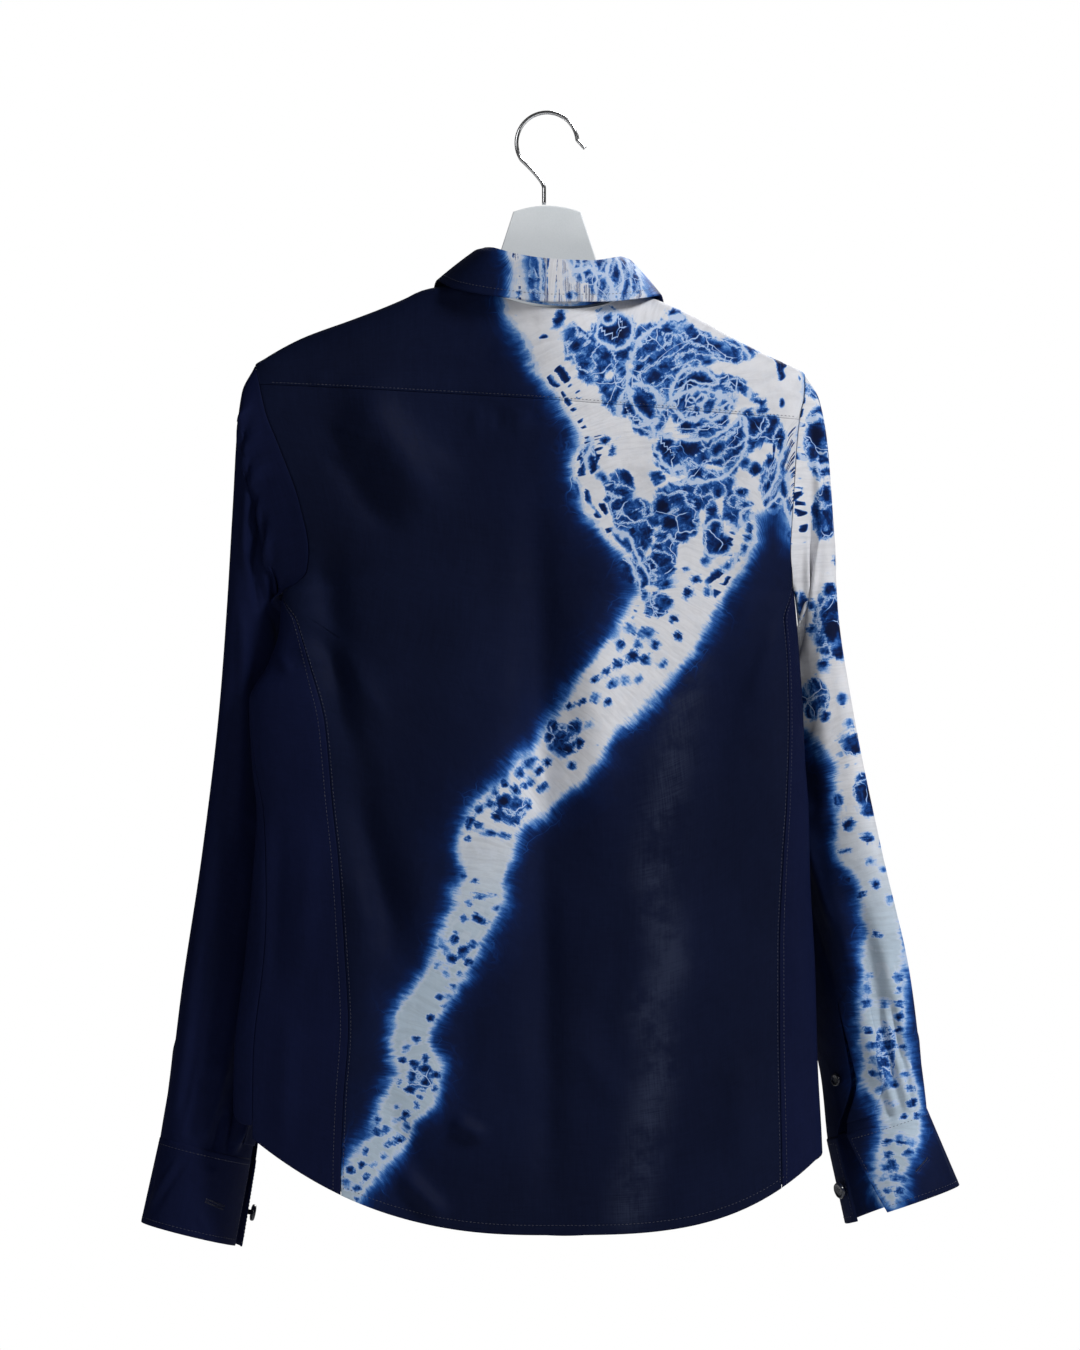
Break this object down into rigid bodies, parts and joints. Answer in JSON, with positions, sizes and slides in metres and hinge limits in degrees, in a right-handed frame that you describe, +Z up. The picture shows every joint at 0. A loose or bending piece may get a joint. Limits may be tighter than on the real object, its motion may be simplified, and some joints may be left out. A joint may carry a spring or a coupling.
{
  "type": "tie-dye shirt on a hanger",
  "caption": "Slim long-sleeved collared shirt with a tie-dye band, hanging open-cuffed on a flat hanger with a wire hook.",
  "frame": {"origin": "inside top of the hook, where a rail carries the hanger", "axes": "+Z up, -Y out of the shirt's back, +X towards the wearer's right"},
  "size_m": [0.6592, 0.1459, 0.9131],
  "materials": {
    "navy_cloth": "fine cotton satin, navy, soft sheen",
    "dyed_cloth": "fine cotton satin, navy with an off-white and blue tie-dye band",
    "button": "dark navy, satin gloss",
    "board": "pale grey, matte",
    "wire": "bright plated wire"
  },
  "bodies": {
    "root": {"yoke": "dyed_cloth", "back": "dyed_cloth", "front_right": "dyed_cloth", "sleeve_right": "dyed_cloth", "placket_right": "dyed_cloth", "cuff_right": "dyed_cloth", "collar_stand": "dyed_cloth", "collar_leaf": "dyed_cloth", "side_left": "navy_cloth", "side_right": "navy_cloth", "front_left": "navy_cloth", "sleeve_left": "navy_cloth", "placket_left": "navy_cloth", "cuff_left": "navy_cloth", "button_front_1": "button", "button_front_2": "button", "button_front_3": "button", "button_front_4": "button", "button_front_5": "button", "button_front_6": "button", "button_front_7": "button", "button_cuff_left": "button", "button_cuff_right": "button", "button_placket_left": "button", "button_placket_right": "button", "hanger": "board", "hook": "wire"}
  },
  "joints": []
}
